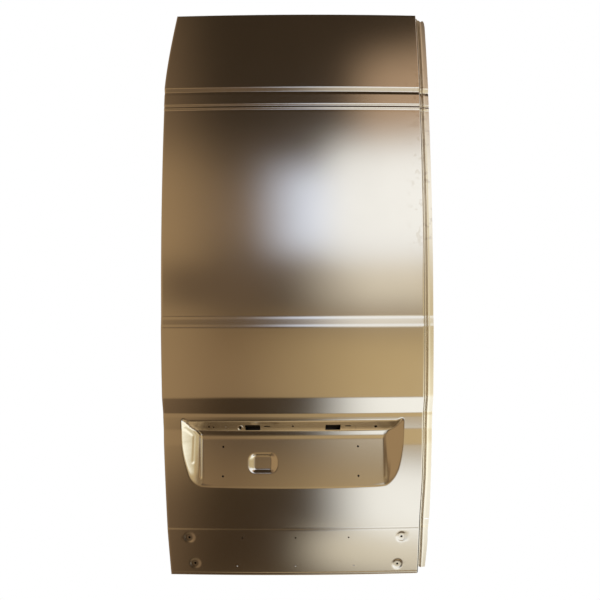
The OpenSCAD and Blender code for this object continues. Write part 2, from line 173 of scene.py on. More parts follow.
def pressed_in(z):
    """How far the pressed lines step the skin inwards at a height."""
    depth = np.full_like(z, PRESSED_LINES[0][1], dtype=float)
    for (za, a, ra), (zb, b, rb) in zip(PRESSED_LINES, PRESSED_LINES[1:]):
        slope = (b - a) / (zb - za)
        depth = depth + slope * (soft_hinge(z - za, ra) - soft_hinge(z - zb, rb))
    return depth


def crown(x):
    return CROWN_R - np.sqrt(CROWN_R ** 2 - (x - MID_X) ** 2)


def bow(x, z):
    """Depth of the plain bowed skin, before any pressed line."""
    return BARREL_R - np.sqrt(BARREL_R ** 2 - (z - BARREL_Z) ** 2) + crown(x)


def face_y(x, z):
    return bow(x, z) + pressed_in(z)


def line_distance(x, z, start, end):
    """Distance to the straight line between two ends."""
    (ax, az), (bx, bz) = start, end
    ex, ez = bx - ax, bz - az
    t = np.clip(((x - ax) * ex + (z - az) * ez) / (ex * ex + ez * ez), 0, 1)
    return np.hypot(x - ax - t * ex, z - az - t * ez)


def outline_distance(x, z, points):
    """Signed distance to a closed outline, positive inside it."""
    nearest = np.full(x.shape, 1e9)
    inside = np.zeros(x.shape, dtype=bool)
    for (ax, az), (bx, bz) in zip(points, points[1:] + points[:1]):
        nearest = np.minimum(nearest, line_distance(x, z, (ax, az), (bx, bz)))
        if az != bz:
            crosses = (az > z) != (bz > z)
            inside ^= crosses & (x < ax + (z - az) / (bz - az) * (bx - ax))
    return np.where(inside, nearest, -nearest)


def box_distance(x, z, half_w, half_h, r):
    """Signed distance to a rounded rectangle about zero, positive inside it."""
    qx = np.abs(x) - (half_w - r)
    qz = np.abs(z) - (half_h - r)
    outside = np.hypot(np.maximum(qx, 0), np.maximum(qz, 0))
    return r - outside - np.minimum(np.maximum(qx, qz), 0)


def arc(x, z, r, start, end, steps=10):
    turns = [math.radians(start + (end - start) * i / steps) for i in range(steps + 1)]
    return [(x + r * math.cos(a), z + r * math.sin(a)) for a in turns]


def mouth_outline():
    """The mouth: two nearly upright sides with rounded ears above, flowing in below."""
    cap, r = MOUTH_CAP_Z, MOUTH_CAP_R
    left = arc(-MOUTH_LEFT + r, cap - r, r, 90, 180, 6) + arc(-MOUTH_LEFT + 400, 465, 400, 180, 193, 6)
    left += arc(-275.5, 354.5, 52, 193, 242, 8)
    right = arc(239.5, 379.5, 88, -62, -14, 8) + arc(MOUTH_RIGHT - 617, 490, 617, -13, 0, 6)
    right += arc(MOUTH_RIGHT - r, cap - r, r, 0, 90, 6)
    return [(MID_X + x, z) for x, z in left + [(0, MOUTH_FLOW_Z)] + right]


def sunk(outer, inner, r):
    """Share of full depth between an outer outline, at 0, and an inner one, at 1."""
    share = outer / np.maximum(outer - inner, 1e-6)
    share = np.where(outer <= 0, outer * 0.02, share)
    return soft_max(soft_min(share, np.ones_like(share), r), np.zeros_like(share), 0.05)


def floor_y(x, z):
    """Depth of the recess floor, which leans back and follows the crown of the skin in part."""
    return FLOOR_FOOT_Y + (z - FLOOR_LOW_Z) * math.tan(math.radians(FLOOR_LEAN)) + FLOOR_CROWN * crown(x)


def ridges(x, z):
    """Share of full height of the ridges, which are fainter on the right of the recess."""
    full = np.where(x > FLOOR_MID, RIDGE_RIGHT_SHARE, 1.0)
    x = FLOOR_MID - np.abs(x - FLOOR_MID)
    share = np.zeros_like(x)
    for start, end in RIDGES:
        share = np.maximum(share, smooth_step(1 - line_distance(x, z, start, end) / RIDGE_HALF))
    return full * share


def recess_y(x, z, y):
    """Depth of the skin with the recess pressed into it, as the least deep of its planes."""
    floor = floor_y(x, z)
    mouth = outline_distance(x, z, mouth_outline())
    flat = box_distance(x - FLOOR_MID, z - FLOOR_LOW_Z, FLOOR_HALF, 2 * MOUTH_TOP_Z, 0.5)
    share = mouth / np.maximum(mouth - flat, 4.0)
    steep = (1 + SIDE_BULGE) * share
    gentle = 1 + (1 - SIDE_BULGE) * (share - 1)
    side = y + soft_min(steep, gentle, SIDE_SOFT) * (floor - y)
    ear = EAR_RISE * smooth_step((np.abs(x - MID_X) - MOUTH_RIGHT + EAR_W) / EAR_W)
    top = y + TOP_WALL_RISE * (MOUTH_TOP_Z + ear - z)
    ledge = floor_y(x, FLOOR_TOP_Z) - LEDGE_RISE * (z - FLOOR_TOP_Z)
    well = soft_min(side, top, WALL_SOFT)
    well = soft_min(well, ledge, WALL_SOFT)
    well = soft_min(well, floor, FLOOR_SOFT)
    well = well - RIDGE_RISE * ridges(x, z)
    soft = MOUTH_SOFT * np.clip((z - FLOOR_LOW_Z) / FOOT_FADE, FOOT_SOFT, 1)
    return np.where(mouth > -12, soft_max(well, y, soft), y)


def hem(x, z):
    """How far the folded edge of the skin turns back, within its radius of the edge."""
    inset = np.minimum(np.minimum(x - hinge_edge(z), SKIN_W - free_edge(z) - x), np.minimum(z, SKIN_H - z))
    past = np.clip(HEM_R - inset, 0, HEM_R)
    return HEM_R - np.sqrt(HEM_R ** 2 - past ** 2)


def skin_y(x, z):
    """Depth of the outer face of the skin everywhere, with recess, pocket and dimples."""
    y = face_y(x, z)
    y = recess_y(x, z, y)
    px, pz = x - POCKET[0], z - POCKET[1]
    rim = box_distance(px, pz, POCKET_SIZE[0] / 2, POCKET_SIZE[1] / 2, 22)
    well = box_distance(px, pz, POCKET_FLAT[0] / 2, POCKET_FLAT[1] / 2, 5)
    y = y + POCKET_DEPTH * sunk(rim, well, 0.15)
    for dx, dz in DIMPLES:
        out = np.hypot(x - dx, z - dz)
        y = y + DIMPLE_DEPTH * sunk(DIMPLE_R - out, DIMPLE_FLAT_R - out, 0.15)
    return y


def graded(stops):
    """Line positions from stops of (start, pitch), ending at the last start."""
    lines = []
    for (a, pitch), (b, _) in zip(stops, stops[1:]):
        n = max(1, round((b - a) / pitch))
        lines += [a + (b - a) * i / n for i in range(n)]
    return lines + [stops[-1][0]]


def hinge_edge(z):
    """How far the hinge edge leans in at a height."""
    head = np.clip((z - SKIN_H + TUMBLE_H) / TUMBLE_H, 0, 1)
    foot = np.clip((FOOT_H - z) / FOOT_H, 0, 1)
    return TUMBLE_IN * head ** TUMBLE_POWER + FOOT_IN * foot


def free_edge(z):
    """How far the free edge draws in towards its foot."""
    return FREE_IN * smooth_step((FREE_FOOT[1] - z) / (FREE_FOOT[1] - FREE_FOOT[0]))


def place(x, y, z):
    """A point of the leaf, in millimetres, as a point of the frame."""
    return Vector(((x + SHIFT[0]) * MM, (y + SHIFT[1]) * MM, (z + SHIFT[2]) * MM))


def add_object(name, bm):
    mesh = bpy.data.meshes.new(name)
    bm.to_mesh(mesh)
    bm.free()
    made = bpy.data.objects.new(name, mesh)
    bpy.context.scene.collection.objects.link(made)
    return made


def new_piece(name, bm, slot_name, *nodes):
    """A piece of the leaf, standing for the CAD nodes that it names."""
    piece = add_object(name, bm)
    if nodes:
        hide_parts(*nodes)
    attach(piece, "root")
    return piece


def shaped_grid(columns, rows, shape):
    """A grid whose lines lie at the given columns and rows, bent by a shape function."""
    bm = bmesh.new()
    bmesh.ops.create_grid(bm, x_segments=len(columns) - 1, y_segments=len(rows) - 1, size=1.0)
    bm.verts.ensure_lookup_table()
    flat = np.array([v.co[:2] for v in bm.verts])
    i = np.rint((flat[:, 0] + 1) / 2 * (len(columns) - 1)).astype(int)
    k = np.rint((flat[:, 1] + 1) / 2 * (len(rows) - 1)).astype(int)
    x, y, z = shape(np.array(columns)[i], np.array(rows)[k])
    for v, px, py, pz in zip(bm.verts, x, y, z):
        v.co = place(px, py, pz)
    return bm


def apply_modifiers(piece):
    graph = bpy.context.evaluated_depsgraph_get()
    mesh = bpy.data.meshes.new_from_object(piece.evaluated_get(graph))
    piece.modifiers.clear()
    piece.data = mesh


def cut(piece, cutter_bm):
    """Cuts the closed shapes of a cutter out of a piece."""
    cutter = add_object("cutter", cutter_bm)
    knife = piece.modifiers.new("cut", "BOOLEAN")
    knife.object = cutter
    knife.operation = "DIFFERENCE"
    knife.solver = "EXACT"
    apply_modifiers(piece)
    bpy.data.objects.remove(cutter)


def face_along(bm, way):
    """Turns all faces to the front, with way -1, or to the cabin, with way 1."""
    bmesh.ops.recalc_face_normals(bm, faces=bm.faces)
    if way * sum(f.normal.y for f in bm.faces) < 0:
        bmesh.ops.reverse_faces(bm, faces=bm.faces)


def give_sheet(piece):
    """Thickens a surface into sheet, behind the face that it shows."""
    wall = piece.modifiers.new("sheet", "SOLIDIFY")
    wall.thickness = SHEET * MM
    wall.offset = -1
    apply_modifiers(piece)


def smooth(piece, sharp_degrees=35):
    piece.data.shade_smooth()
    piece.data.set_sharp_from_angle(angle=math.radians(sharp_degrees))


def add_round_cutter(bm, x, z, r, segments=28):
    made = bmesh.ops.create_cone(
        bm, cap_ends=True, segments=segments, radius1=r * MM, radius2=r * MM, depth=CUT_LENGTH * MM
    )
    turn = Matrix.Rotation(math.radians(90), 3, "X")
    bmesh.ops.rotate(bm, verts=made["verts"], cent=(0, 0, 0), matrix=turn)
    bmesh.ops.translate(bm, verts=made["verts"], vec=place(x, CUT_LENGTH / 3, z))


def add_box_cutter(bm, x, z, w, h, corner=0.0):
    made = bmesh.ops.create_cube(bm, size=1.0)
    bmesh.ops.scale(bm, verts=made["verts"], vec=(w * MM, CUT_LENGTH * MM, h * MM))
    if corner:
        along = [e for e in bm.edges if e.verts[0] in made["verts"] and
                 abs(e.verts[0].co.y - e.verts[1].co.y) > CUT_LENGTH * MM / 2]
        rounded = bmesh.ops.bevel(
            bm, geom=along, offset=corner * MM, affect="EDGES", segments=4, profile=0.5, material=-1
        )
        verts = set(made["verts"]) | set(rounded["verts"])
        verts = [v for v in verts if v.is_valid]
    else:
        verts = made["verts"]
    bmesh.ops.translate(bm, verts=verts, vec=place(x, CUT_LENGTH / 3, z))


SKIN_COLUMNS = graded([
    (0, 0.75), (3, 4), (11, 10), (50, 2.6), (128, 8), (256, 2.8), (358, 10), (680, 2.6), (756, 9), (793, 4),
    (801, 0.75), (804, 1),
])
SKIN_ROWS = graded([
    (0, 0.75), (3, 3), (9, 0.9), (13.5, 4), (22, 3), (66, 11), (112, 3), (172, 18), (290, 3.1), (440, 2.6),
    (524, 2.2), (548, 7), (580, 2.4), (596, 20), (798, 2), (840, 24), (1470, 1.5), (1502, 9), (1526, 1.6),
    (1557, 22), (1800, 5), (1805, 0.75), (1808, 1),
])


def skin_shape(x, z):
    """Skin grid: leaned in at the hinge edge and at the foot of the free edge, hemmed all round."""
    lean = hinge_edge(z)
    x = lean + x * (SKIN_W - lean - free_edge(z)) / SKIN_W
    return x, skin_y(x, z) + hem(x, z), z


def outer_skin():
    bm = shaped_grid(SKIN_COLUMNS, SKIN_ROWS, skin_shape)
    face_along(bm, -1)
    piece = new_piece("door_skin", bm, "skin", "outer_skin")
    give_sheet(piece)
    knife = bmesh.new()
    for x, z in DIMPLES:
        add_round_cutter(knife, x, z, DIMPLE_HOLE_R)
    for x, z in STRIP_HOLES:
        add_round_cutter(knife, x, z, STRIP_HOLE_R)
    for x, z, r in WALL_HOLES:
        add_round_cutter(knife, x, z, r)
    for side in (-1, 1):
        for lift in (-1, 1):
            x = PLATE_MID[0] + side * PLATE_PITCH[0] / 2
            add_round_cutter(knife, x, PLATE_MID[1] + lift * PLATE_PITCH[1] / 2, PLATE_HOLE_R)
    for x, z in LAMP_WINDOWS:
        add_box_cutter(knife, x, z, LAMP_W, LAMP_H)
    for x, z, w in WALL_SLOTS:
        add_box_cutter(knife, x, z, w, SLOT_H)
    add_box_cutter(knife, *CLIP)
    cut(piece, knife)
    smooth(piece)
    return piece


FLANGE_SECTION = [
    # behind the skin's edge and down its side
    (-18, 3.2), (-6, 3.2), (-3.4, 3.6), (-1.6, 5), (-0.6, 7), (0.4, CHANNEL_IN - 2.4), (1.4, CHANNEL_IN - 0.9),
    # floor of the channel, with its low ridge
    (2.6, CHANNEL_IN - 1.1), (3.8, CHANNEL_IN - 1.8), (4.8, CHANNEL_IN - 1.6), (6, CHANNEL_IN - 0.6),
    (7.6, CHANNEL_IN - 0.4),
    # up to the lip and across it
    (CHANNEL_W - 2, CHANNEL_IN - 1.4), (CHANNEL_W - 0.8, LIP_IN + 1), (CHANNEL_W + 0.6, LIP_IN - 0.2),
    (CHANNEL_W + 2, LIP_IN - 0.5), (CHANNEL_W + 3.4, LIP_IN - 0.1), (CHANNEL_W + 5, LIP_IN + 0.7),
    (CHANNEL_W + 7, LIP_IN + 1.5), (CHANNEL_W + 9, LIP_IN + 1.9), (LIP_REACH - 3, LIP_IN + 2.2),
    (LIP_REACH, LIP_IN + 2.6),
]

# Reach of the lip by height, and height of the flange's head by place past the skin.
LIP_BY_HEIGHT = [(18, 22), (60, 24.5), (110, 27), (150, 26), (190, 29), (240, 30), (1770, 30), (1796, 27)]
HEAD_BY_REACH = [(-18, 1804), (2, 1803), (9, 1795), (15, 1789), (18, 1789), (21, 1793), (27, 1793), (30, 1787)]
HEAD_FROM = 1700.0


def closing_flange():
    """The stepped flange: a sunk channel beside the skin, then the flat lip."""
    columns = list(range(len(FLANGE_SECTION)))
    rows = [z for z in SKIN_ROWS if LIP_LOW_Z < z < LIP_TOP_Z]
    rows = [LIP_LOW_Z] + rows + [LIP_TOP_Z]

    def shape(i, z):
        section = np.array(FLANGE_SECTION)[i]
        head = np.interp(section[:, 0], *zip(*HEAD_BY_REACH))
        raised = HEAD_FROM + (z - HEAD_FROM) * (head - HEAD_FROM) / (LIP_TOP_Z - HEAD_FROM)
        z = np.where(z > HEAD_FROM, raised, z)
        past = np.maximum(section[:, 0] - CHANNEL_W, 0) / (LIP_REACH - CHANNEL_W)
        reach = np.interp(z, *zip(*LIP_BY_HEIGHT))
        x = SKIN_W - free_edge(z) * (1 - past)
        x = x + np.minimum(section[:, 0], CHANNEL_W) + past * (reach - CHANNEL_W)
        return x, face_y(x, z) + section[:, 1], z

    bm = shaped_grid(columns, rows, shape)
    face_along(bm, -1)
    piece = new_piece("meeting_flange", bm, "skin", "closing_flange")
    give_sheet(piece)
    knife = bmesh.new()
    add_box_cutter(knife, SKIN_W + (CHANNEL_W + LIP_REACH) / 2, FLANGE_SLOT_Z, FLANGE_SLOT_W, SLOT_H)
    cut(piece, knife)
    smooth(piece, 50)
    return piece


# The inner pressing: how its edge turns from the hemmed flange over the wall to the web,
# as inset from the leaf's edge and share of the way from flange to web.
TRAY_SECTION = [
    (3, 0), (10, 0), (17, 0), (24, 0), (26, 0.01), (27.2, 0.035), (27.9, 0.08), (28.05, 0.14),
    (28.15, 0.4), (28.2, 0.66), (28.3, 0.9), (29, 0.955), (30.4, 0.985), (32, 0.997), (34, 1),
]
WEB_IN = 60.0
WEB_COLUMNS = graded([
    (34, 9), (104, 4), (160, 9), (204, 4.5), (232, 12), (556, 4.5), (612, 7), (630, 4.5), (732, 9), (770, 6),
])
WEB_ROWS = graded([
    (34, 4), (42, 3), (108, 12), (180, 3.5), (220, 12), (268, 4.5), (300, 12), (436, 4.5), (482, 4),
    (530, 10), (536, 4.5), (674, 12), (700, 4), (744, 12), (872, 4.5), (930, 16), (1076, 4), (1236, 16),
    (1412, 4), (1570, 4.5), (1610, 12), (1696, 4.5), (1742, 8), (1774, 6),
])

# Openings of the web: left, right, low, high and corner radius; the last takes the handle.
WEB_OPENINGS = [
    (130, 690, 1210, 1440, 40), (130, 690, 900, 1105, 40), (150, 640, 1590, 1720, 40),
    (130, 600, 560, 650, 35), (220, 570, 290, 455, 45), (130, 670, 52, 96, 18), (650, 720, 590, 650, 12),
]
OPENING_TURN = 7.0
OPENING_LAND = 22.0
LAND_IN = 2.5
BEAD_HALF = 12.0
BEAD_IN = 5.0

# Pressed beads of the web, from end to end, and its round holes.
WEB_BEADS = [
    ((190, 1490), (630, 1490)), ((190, 1540), (630, 1540)), ((180, 1157), (640, 1157)),
    ((180, 720), (610, 720)), ((180, 505), (640, 505)), ((110, 200), (690, 200)),
    ((82, 930), (82, 1075)), ((82, 1240), (82, 1410)), ((738, 930), (738, 1075)), ((738, 1240), (738, 1410)),
]
WEB_HOLES = [
    (x, z, 4.0) for x in (110, 260, 410, 560, 710) for z in (1183, 1131, 870, 1462)
] + [
    (150, 800, 11), (640, 800, 11), (300, 800, 4), (500, 800, 4), (700, 480, 9), (110, 480, 9), (150, 250, 11),
    (640, 250, 11), (90, 1560, 9), (700, 1560, 9), (250, 1750, 4), (550, 1750, 4), (250, 135, 4), (550, 135, 4),
]

# Holes through the walls of the pressing: hinge bolts, check strap, striker and latches.
WALL_IN = 28.0
CROSS_CUT = 14.0
HINGE_Y, HINGE_Z, HINGE_PITCH, HINGE_HOLE_R = 78.0, (312.0, 1432.0), 60.0, 4.5
SEAT_HALF_Y, SEAT_HALF_Z = 14.0, 62.0
SEAT_X, SEAT_THICK, SEAT_EDGE = 27.8, 1.6, 0.5
CHECK_Y, CHECK_Z, CHECK_PITCH = 55.33, 1260.0, 50.0
CHECK_SLOT = (10.0, 24.0)
STRIKER_Y, STRIKER_Z, STRIKER_PITCH = 37.1, 774.0, 32.0
LATCH_X, LATCH_PITCH = 727.0, 44.0
LATCH_TOP_Y, LATCH_LOW_Y = 137.19, 124.03
WALL_BOLT_R = 3.5


def web_relief(x, z):
    """Depth pressed into the web, away from the cabin, round its openings and along its beads."""
    relief = np.zeros_like(x)
    for left, right, low, high, r in WEB_OPENINGS:
        inside = box_distance(
            x - (left + right) / 2, z - (low + high) / 2, (right - left) / 2, (high - low) / 2, r
        )
        turn = np.clip((inside + OPENING_TURN) / OPENING_TURN, 0, 0.99)
        land = smooth_step((inside + OPENING_LAND) / 6.0)
        relief = np.maximum(relief, LAND_IN * land + OPENING_TURN * (1 - np.sqrt(1 - turn * turn)))
    for start, end in WEB_BEADS:
        away = line_distance(x, z, start, end)
        relief = np.maximum(relief, BEAD_IN * smooth_step((BEAD_HALF - away) / BEAD_HALF * 1.3))
    return relief


def add_cross_cutter(bm, centre, r, axis):
    """A round cutter through a wall, along X or Z."""
    made = bmesh.ops.create_cone(
        bm, cap_ends=True, segments=24, radius1=r * MM, radius2=r * MM, depth=CROSS_CUT * MM
    )
    if axis == "X":
        turn = Matrix.Rotation(math.radians(90), 3, "Y")
        bmesh.ops.rotate(bm, verts=made["verts"], cent=(0, 0, 0), matrix=turn)
    bmesh.ops.translate(bm, verts=made["verts"], vec=place(*centre))


def add_hinge_holes(bm, z):
    for side in (-1, 1):
        add_cross_cutter(bm, (WALL_IN, HINGE_Y, z + side * HINGE_PITCH / 2), HINGE_HOLE_R, "X")


def inner_pressing():
    """The inner panel: hemmed flange, wall all round, and the web with its openings."""
    edge = TRAY_SECTION
    columns = [(i, t) for i, t in edge] + [(x, 1) for x in WEB_COLUMNS[1:-1]]
    columns += [(SKIN_W - i, t) for i, t in reversed(edge)]
    rows = [(i, t) for i, t in edge] + [(z, 1) for z in WEB_ROWS[1:-1]]
    rows += [(SKIN_H - i, t) for i, t in reversed(edge)]
    across, upright = np.array(columns), np.array(rows)

    def shape(i, k):
        i, k = np.rint(i).astype(int), np.rint(k).astype(int)
        x, z = across[i, 0], upright[k, 0]
        share = np.minimum(across[i, 1], upright[k, 1])
        x = x + hinge_edge(z) * np.minimum(1, (SKIN_W - x) / (SKIN_W - 40))
        flange = face_y(x, z) + 2 * SHEET
        web = bow(x, z) + WEB_IN + SHEET - web_relief(x, z)
        return x, flange + share * (web - flange), z

    bm = shaped_grid(list(range(len(columns))), list(range(len(rows))), shape)
    face_along(bm, 1)
    piece = new_piece(
        "inner_pressing", bm, "inner", "inner_panel_top", "inner_panel_middle", "inner_panel_lower"
    )
    give_sheet(piece)
    knife = bmesh.new()
    for left, right, low, high, r in WEB_OPENINGS:
        add_box_cutter(knife, (left + right) / 2, (low + high) / 2, right - left, high - low, r)
    for x, z, r in WEB_HOLES:
        add_round_cutter(knife, x, z, r)
    for z in HINGE_Z:
        add_hinge_holes(knife, z)
    for side in (-1, 1):
        check_z = CHECK_Z + side * CHECK_PITCH / 2
        striker_z = STRIKER_Z + side * STRIKER_PITCH / 2
        latch_x = LATCH_X + side * LATCH_PITCH / 2
        add_cross_cutter(knife, (WALL_IN, CHECK_Y, check_z), WALL_BOLT_R, "X")
        add_cross_cutter(knife, (SKIN_W - WALL_IN, STRIKER_Y, striker_z), WALL_BOLT_R, "X")
        add_cross_cutter(knife, (latch_x, LATCH_TOP_Y, SKIN_H - WALL_IN), WALL_BOLT_R, "Z")
        add_cross_cutter(knife, (latch_x, LATCH_LOW_Y, WALL_IN), WALL_BOLT_R, "Z")
    slot = bmesh.ops.create_cube(knife, size=1.0)["verts"]
    bmesh.ops.scale(knife, verts=slot, vec=(CROSS_CUT * MM, CHECK_SLOT[0] * MM, CHECK_SLOT[1] * MM))
    bmesh.ops.translate(knife, verts=slot, vec=place(WALL_IN, CHECK_Y, CHECK_Z))
    cut(piece, knife)
    smooth(piece, 40)
    return piece


def clip_ring():
    """The oval ring that stands at the clip hole in the top wall of the recess."""
    half_w, half_h, thick = CLIP_RING
    bm = bmesh.new()
    made = bmesh.ops.create_circle(bm, segments=10, radius=thick / 2 * MM)["verts"]
    bmesh.ops.translate(bm, verts=made, vec=(half_w * MM, 0, 0))
    bmesh.ops.spin(
        bm, geom=bm.verts[:] + bm.edges[:], cent=(0, 0, 0), axis=(0, 1, 0), angle=math.tau, steps=36,
        use_merge=True
    )
    bmesh.ops.remove_doubles(bm, verts=bm.verts, dist=1e-6)
    bmesh.ops.scale(bm, verts=bm.verts, vec=(1, 1, half_h / half_w))
    lean = Matrix.Rotation(math.atan(TOP_WALL_RISE), 3, "X")
    bmesh.ops.rotate(bm, verts=bm.verts, cent=(0, 0, 0), matrix=lean)
    x, z = np.array([CLIP[0]]), np.array([CLIP[1]])
    bmesh.ops.translate(bm, verts=bm.verts, vec=place(x[0], skin_y(x, z)[0] - thick / 4, z[0]))
    bmesh.ops.recalc_face_normals(bm, faces=bm.faces)
    piece = new_piece("clip_ring", bm, "skin")
    smooth(piece)
    return piece


def hinge_seat(name, z):
    """A raised flat seat on the hinge-side wall, with its two bolt holes."""
    bm = bmesh.new()
    made = bmesh.ops.create_cube(bm, size=1.0)["verts"]
    bmesh.ops.scale(bm, verts=made, vec=(SEAT_THICK * MM, 2 * SEAT_HALF_Y * MM, 2 * SEAT_HALF_Z * MM))
    bmesh.ops.bevel(
        bm, geom=bm.edges, offset=SEAT_EDGE * MM, affect="EDGES", segments=2, profile=0.5, material=-1
    )
    bmesh.ops.translate(bm, verts=bm.verts, vec=place(SEAT_X, HINGE_Y, z))
    piece = new_piece(name, bm, "inner")
    knife = bmesh.new()
    add_hinge_holes(knife, z)
    cut(piece, knife)
    smooth(piece)
    return piece


def wire(links, source, target):
    """Links a socket, or sets a plain value where no socket is given."""
    if isinstance(source, (int, float)):
        target.default_value = source
    else:
        links.new(source, target)


def math_node(tree, operation, a, b=0.0):
    node = tree.nodes.new("ShaderNodeMath")
    node.operation = operation
    wire(tree.links, a, node.inputs[0])
    wire(tree.links, b, node.inputs[1])
    return node.outputs[0]


def fade(tree, value, start, end):
    """One at the start value and nought at the end value, with a soft way between."""
    node = tree.nodes.new("ShaderNodeMapRange")
    node.interpolation_type = "SMOOTHSTEP"
    tree.links.new(value, node.inputs["Value"])
    node.inputs["From Min"].default_value = start
    node.inputs["From Max"].default_value = end
    node.inputs["To Min"].default_value = 1.0
    node.inputs["To Max"].default_value = 0.0
    return node.outputs["Result"]


def lay_over(tree, under, colour, share):
    node = tree.nodes.new("ShaderNodeMix")
    node.data_type = "RGBA"
    wire(tree.links, share, node.inputs["Factor"])
    tree.links.new(under, node.inputs["A"])
    if isinstance(colour, tuple):
        node.inputs["B"].default_value = (*colour, 1)
    else:
        tree.links.new(colour, node.inputs["B"])
    return node.outputs["Result"]


def steel(name, tint, roughness, smudge):
    """Satin bare steel with faint rolling lines and cloudy gloss; gives the material's tree."""
    mat = bpy.data.materials.new(name)
    mat.use_nodes = True
    nodes, links = mat.node_tree.nodes, mat.node_tree.links
    shader = nodes["Principled BSDF"]
    shader.inputs["Metallic"].default_value = 1.0
    place_in = nodes.new("ShaderNodeTexCoord")
    cloud = nodes.new("ShaderNodeTexNoise")
    cloud.inputs["Scale"].default_value = 3.0
    cloud.inputs["Detail"].default_value = 4.0
    links.new(place_in.outputs["Object"], cloud.inputs["Vector"])
    stretch = nodes.new("ShaderNodeMapping")
    stretch.inputs["Scale"].default_value = (260.0, 260.0, 9.0)
    links.new(place_in.outputs["Object"], stretch.inputs["Vector"])
    grain = nodes.new("ShaderNodeTexNoise")
    grain.inputs["Scale"].default_value = 1.0
    grain.inputs["Detail"].default_value = 2.0
    links.new(stretch.outputs["Vector"], grain.inputs["Vector"])
    blend = nodes.new("ShaderNodeMix")
    blend.data_type = "FLOAT"
    blend.inputs["Factor"].default_value = 0.25
    links.new(cloud.outputs["Fac"], blend.inputs["A"])
    links.new(grain.outputs["Fac"], blend.inputs["B"])
    gloss = nodes.new("ShaderNodeMapRange")
    gloss.inputs["To Min"].default_value = roughness - smudge
    gloss.inputs["To Max"].default_value = roughness + smudge
    links.new(blend.outputs["Result"], gloss.inputs["Value"])
    links.new(gloss.outputs["Result"], shader.inputs["Roughness"])
    shade = nodes.new("ShaderNodeValToRGB")
    shade.color_ramp.elements[0].position = 0.3
    shade.color_ramp.elements[0].color = (*[c * 0.93 for c in tint], 1)
    shade.color_ramp.elements[1].position = 0.7
    shade.color_ramp.elements[1].color = (*tint, 1)
    links.new(cloud.outputs["Fac"], shade.inputs["Fac"])
    links.new(shade.outputs["Color"], shader.inputs["Base Color"])
    return mat


def change_colour(mat, colour, share):
    """Lays a colour over the shader's own, by a share that a socket gives."""
    tree = mat.node_tree
    shader = tree.nodes["Principled BSDF"]
    under = shader.inputs["Base Color"].links[0].from_socket
    tree.links.new(lay_over(tree, under, colour, share), shader.inputs["Base Color"])


def add_finger_marks(mat):
    """Dull finger marks down the free edge of the skin, above the waist."""
    tree = mat.node_tree
    place_in = tree.nodes.new("ShaderNodeTexCoord")
    parts = tree.nodes.new("ShaderNodeSeparateXYZ")
    tree.links.new(place_in.outputs["Object"], parts.inputs["Vector"])
    marks = tree.nodes.new("ShaderNodeTexNoise")
    marks.inputs["Scale"].default_value = 44.0
    marks.inputs["Detail"].default_value = 3.0
    tree.links.new(place_in.outputs["Object"], marks.inputs["Vector"])
    share = fade(tree, marks.outputs["Fac"], 0.66, 0.54)
    for socket, start, end in MARK_ZONE:
        share = math_node(tree, "MULTIPLY", share, fade(tree, parts.outputs[socket], start, end))
    change_colour(mat, MARK_TINT, share)


def shade_the_cavity(mat):
    """Painted shade: darkens the colour of the faces turned to the skin, which no light reaches inside the
    leaf.
    """
    tree = mat.node_tree
    facing = tree.nodes.new("ShaderNodeNewGeometry")
    parts = tree.nodes.new("ShaderNodeSeparateXYZ")
    tree.links.new(facing.outputs["Normal"], parts.inputs["Vector"])
    change_colour(mat, CAVITY_PAINTED_SHADE, fade(tree, parts.outputs["Y"], -0.7, -0.3))


def mastic():
    mat = bpy.data.materials.new("anti_flutter_mastic")
    mat.use_nodes = True
    nodes, links = mat.node_tree.nodes, mat.node_tree.links
    shader = nodes["Principled BSDF"]
    shader.inputs["Roughness"].default_value = 0.8
    place_in = nodes.new("ShaderNodeTexCoord")
    lumps = nodes.new("ShaderNodeTexNoise")
    lumps.inputs["Scale"].default_value = 220.0
    links.new(place_in.outputs["Object"], lumps.inputs["Vector"])
    shade = nodes.new("ShaderNodeValToRGB")
    shade.color_ramp.elements[0].color = (0.012, 0.012, 0.012, 1)
    shade.color_ramp.elements[1].color = (0.04, 0.038, 0.035, 1)
    links.new(lumps.outputs["Fac"], shade.inputs["Fac"])
    links.new(shade.outputs["Color"], shader.inputs["Base Color"])
    return mat


# Where the finger marks lie: direction, where they are full and where they end, in metres.
MARK_ZONE = [("X", 0.758, 0.718), ("Z", 0.74, 0.62), ("Z", 1.24, 1.36)]
MARK_TINT = (0.70, 0.64, 0.55)
# Painted shade: the dark colour laid over the inner steel's faces that turn to the skin, inside the leaf.
CAVITY_PAINTED_SHADE = (0.05, 0.045, 0.04)
SKIN_STEEL = steel("skin_steel", (0.78, 0.73, 0.65), 0.15, 0.015)
FLANGE_STEEL = steel("flange_steel", (0.88, 0.82, 0.70), 0.28, 0.02)
INNER_STEEL = steel("inner_steel", (0.68, 0.63, 0.56), 0.30, 0.05)
MASTIC = mastic()
add_finger_marks(SKIN_STEEL)
add_finger_marks(FLANGE_STEEL)
shade_the_cavity(INNER_STEEL)


def dress(piece, mat):
    piece.data.materials.clear()
    piece.data.materials.append(mat)


def dress_nodes():
    for name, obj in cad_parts.items():
        mat = MASTIC if name.endswith("_mastic") else INNER_STEEL
        for slot in obj.material_slots:
            slot.material = mat
        if not obj.material_slots:
            obj.data.materials.append(mat)


# Camera, as the photograph was taken: 1.5 m in front of the foremost line of the bow.
CAMERA_X = 424.5
CAMERA_Z = 885.5
CAMERA_AWAY = 1500.0
FOCAL_PIXELS = 496.4
CAMERA_ROLL = 0.26
FRAME_PIXELS = 600.0


def add_camera():
    data = bpy.data.cameras.new("camera")
    data.sensor_width = 36.0
    data.lens = FOCAL_PIXELS / FRAME_PIXELS * data.sensor_width
    camera = bpy.data.objects.new("camera", data)
    camera.location = place(CAMERA_X, -CAMERA_AWAY, CAMERA_Z)
    camera.rotation_euler = (math.radians(90), math.radians(CAMERA_ROLL), 0)
    bpy.context.scene.collection.objects.link(camera)
    bpy.context.scene.camera = camera


